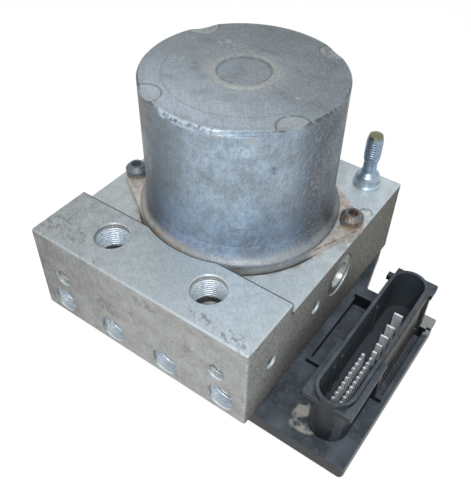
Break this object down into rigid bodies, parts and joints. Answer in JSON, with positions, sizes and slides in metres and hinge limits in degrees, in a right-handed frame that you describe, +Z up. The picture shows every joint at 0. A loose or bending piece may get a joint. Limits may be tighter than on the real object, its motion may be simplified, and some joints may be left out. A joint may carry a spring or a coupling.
{
  "type": "abs_brake_module",
  "caption": "Anti-lock brake hydraulic unit: aluminium valve block, cylindrical pump motor on top, dark plastic control unit below with an upright plug connector.",
  "frame": {"origin": "on the motor's axis, in the plane of the control unit's cover on which the unit rests", "axes": "+Z up the motor's axis, -Y towards the four wheel ports, +X towards the plug connector"},
  "size_m": [0.1235, 0.1043, 0.1107],
  "materials": {
    "block": "milled, weathered",
    "plug_steel": "bright",
    "zinc_steel": "zinc plated",
    "can_steel": "zinc plated, weathered",
    "screw_steel": "plated, corroded",
    "spring_steel": "satin",
    "ground_steel": "ground",
    "lamination": "matt",
    "copper": "enamelled",
    "magnet": "matt",
    "carbon": "matt",
    "dark_plastic": "moulded, scuffed",
    "inner_plastic": "moulded",
    "seal_rubber": "matt",
    "tinned": "tinned",
    "board_green": "solder resist",
    "bronze": "sintered"
  },
  "bodies": {
    "unit": {"valve_block": "block", "ball_plugs": "plug_steel", "mounting_stud": "zinc_steel", "inlet_valves": "ground_steel", "outlet_valves": "ground_steel", "valve_coils": "inner_plastic", "coil_yokes": "zinc_steel", "motor_flange": "can_steel", "motor_can": "can_steel", "motor_screws": "screw_steel", "motor_magnets": "magnet", "brush_holder": "inner_plastic", "brushes": "carbon", "brush_springs": "spring_steel", "lower_bearing": "ground_steel", "top_bush": "bronze", "terminal_post": "inner_plastic", "terminal_blades": "tinned", "ecu_housing": "dark_plastic", "ecu_cover": "dark_plastic", "ecu_gasket": "seal_rubber", "ecu_screws": "zinc_steel", "circuit_board": "board_green", "board_chips": "carbon", "capacitors": "inner_plastic", "signal_pins": "tinned", "power_blades": "tinned", "pump_plug_right": "block", "pump_cylinder_right": "ground_steel", "accumulator_cap_right": "zinc_steel", "accumulator_spring_right": "spring_steel", "pump_plug_left": "block", "pump_cylinder_left": "ground_steel", "accumulator_cap_left": "zinc_steel", "accumulator_spring_left": "spring_steel"},
    "rotor": {"motor_shaft": "ground_steel", "armature_core": "lamination", "armature_windings": "copper", "commutator": "copper"},
    "bearing_ring": {"eccentric_ring": "ground_steel"},
    "piston_right": {"pump_piston_right": "ground_steel", "pump_spring_right": "spring_steel"},
    "piston_left": {"pump_piston_left": "ground_steel", "pump_spring_left": "spring_steel"},
    "accumulator_right": {"accumulator_piston_right": "block", "accumulator_seal_right": "seal_rubber"},
    "accumulator_left": {"accumulator_piston_left": "block", "accumulator_seal_left": "seal_rubber"}
  },
  "joints": [
    {"name": "armature_spin", "type": "hinge", "parent": "unit", "child": "rotor", "pos_m": [0, 0, 0.08], "axis": [0, 0, 1], "continuous": true},
    {"name": "eccentric_ring_spin", "type": "hinge", "parent": "rotor", "child": "bearing_ring", "pos_m": [0.001, 0, 0.0452], "axis": [0, 0, 1], "continuous": true},
    {"name": "pump_piston_right_slide", "type": "slide", "parent": "unit", "child": "piston_right", "axis": [1, 0, 0], "range_m": [0, 0.002]},
    {"name": "pump_piston_left_slide", "type": "slide", "parent": "unit", "child": "piston_left", "axis": [-1, 0, 0], "range_m": [0, 0.002]},
    {"name": "accumulator_right_slide", "type": "slide", "parent": "unit", "child": "accumulator_right", "axis": [0, 0, 1], "range_m": [-0.007, 0], "deforming": ["accumulator_spring_right"]},
    {"name": "accumulator_left_slide", "type": "slide", "parent": "unit", "child": "accumulator_left", "axis": [0, 0, 1], "range_m": [-0.007, 0], "deforming": ["accumulator_spring_left"]}
  ],
  "couplings": [
    {"joint": "eccentric_ring_spin", "follows": "armature_spin", "ratio": -1}
  ]
}
